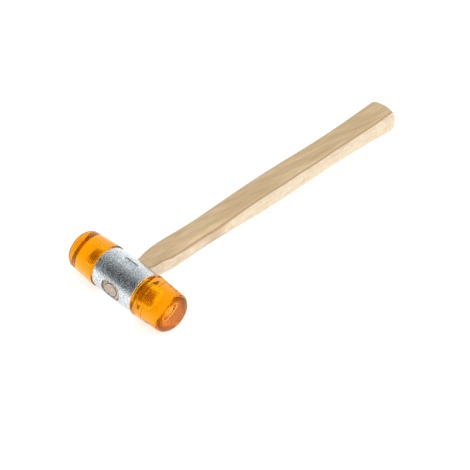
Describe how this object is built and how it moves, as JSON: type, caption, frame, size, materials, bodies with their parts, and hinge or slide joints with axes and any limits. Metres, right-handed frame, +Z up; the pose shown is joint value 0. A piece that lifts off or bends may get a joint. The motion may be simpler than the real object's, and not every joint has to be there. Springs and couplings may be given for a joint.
{
  "type": "soft-face mallet",
  "caption": "Hand mallet with a round cast housing, a transparent amber plastic face screwed into each end, and an oval ash handle held by a ring wedge.",
  "frame": {"origin": "on the ground under the middle of the mallet's box, as it lies on its side", "axes": "+X along the handle from the head to its thick end, +Y along the head towards the left face, +Z up"},
  "size_m": [0.3079, 0.1028, 0.035],
  "materials": {
    "zinc_casting": "zinc-plated casting, fine mottled texture",
    "amber_plastic": "transparent amber, polished",
    "stud_steel": "machined thread, dull",
    "ash_wood": "fine sanded ash, clear matt lacquer",
    "wedge_steel": "bright steel"
  },
  "bodies": {
    "root": {"head_housing": "zinc_casting", "handle": "ash_wood", "ring_wedge": "wedge_steel"},
    "left_stud": {"left_stud": "stud_steel"},
    "left_face": {"left_face": "amber_plastic"},
    "right_stud": {"right_stud": "stud_steel"},
    "right_face": {"right_face": "amber_plastic"}
  },
  "joints": [
    {"name": "left_stud_travel", "type": "slide", "parent": "root", "child": "left_stud", "axis": [0, 1, 0], "range_m": [0, 0.0088]},
    {"name": "left_face_turn", "type": "hinge", "parent": "left_stud", "child": "left_face", "pos_m": [-0.1365, 0, 0.0175], "axis": [0, 1, 0], "range_deg": [0, 1800]},
    {"name": "right_stud_travel", "type": "slide", "parent": "root", "child": "right_stud", "axis": [0, -1, 0], "range_m": [0, 0.0088]},
    {"name": "right_face_turn", "type": "hinge", "parent": "right_stud", "child": "right_face", "pos_m": [-0.1365, 0, 0.0175], "axis": [0, -1, 0], "range_deg": [0, 1800]}
  ],
  "couplings": [
    {"joint": "left_stud_travel", "follows": "left_face_turn", "m_per_rad": 0.00027852},
    {"joint": "right_stud_travel", "follows": "right_face_turn", "m_per_rad": 0.00027852}
  ]
}
